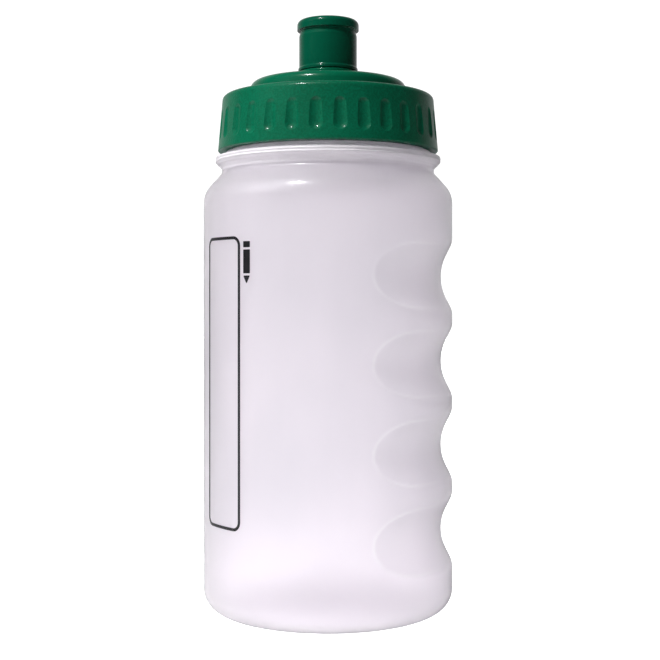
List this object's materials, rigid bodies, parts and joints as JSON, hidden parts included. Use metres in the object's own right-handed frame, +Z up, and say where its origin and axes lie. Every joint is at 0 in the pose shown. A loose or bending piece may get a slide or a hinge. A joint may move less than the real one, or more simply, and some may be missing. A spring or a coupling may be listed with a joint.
{
  "type": "sports squeeze bottle",
  "caption": "Translucent squeeze bottle with finger grips down one side, a fluted screw lid and a push-pull drinking nozzle.",
  "frame": {"origin": "centre of the base, on the plane the bottle stands on", "axes": "+Z up along the bottle's axis, +X towards the finger grips, -Y towards the user, with the printed panel on the -X -Y side"},
  "size_m": [0.074, 0.074, 0.1753],
  "materials": {
    "frosted_body": "translucent frosted polyethylene",
    "green_lid": "spark-eroded skirt, smooth crown",
    "green_nozzle": "smooth gloss",
    "seal": "soft natural polyethylene",
    "ink": "screen-printed black ink"
  },
  "bodies": {
    "bottle": {"bottle_body": "frosted_body", "name_panel_print": "ink"},
    "seal": {"lid_seal_ring": "seal"},
    "lid": {"screw_lid": "green_lid"},
    "nozzle": {"push_pull_nozzle": "green_nozzle"}
  },
  "joints": [
    {"name": "lid_rise", "type": "slide", "parent": "bottle", "child": "seal", "axis": [0, 0, 1], "range_m": [0, 0.00625]},
    {"name": "lid_turn", "type": "hinge", "parent": "seal", "child": "lid", "pos_m": [0, 0, 0.142], "axis": [0, 0, 1], "range_deg": [0, 450]},
    {"name": "nozzle_pull", "type": "slide", "parent": "lid", "child": "nozzle", "axis": [0, 0, 1], "range_m": [0, 0.006]}
  ],
  "couplings": [
    {"joint": "lid_rise", "follows": "lid_turn", "m_per_rad": 0.00079577}
  ]
}
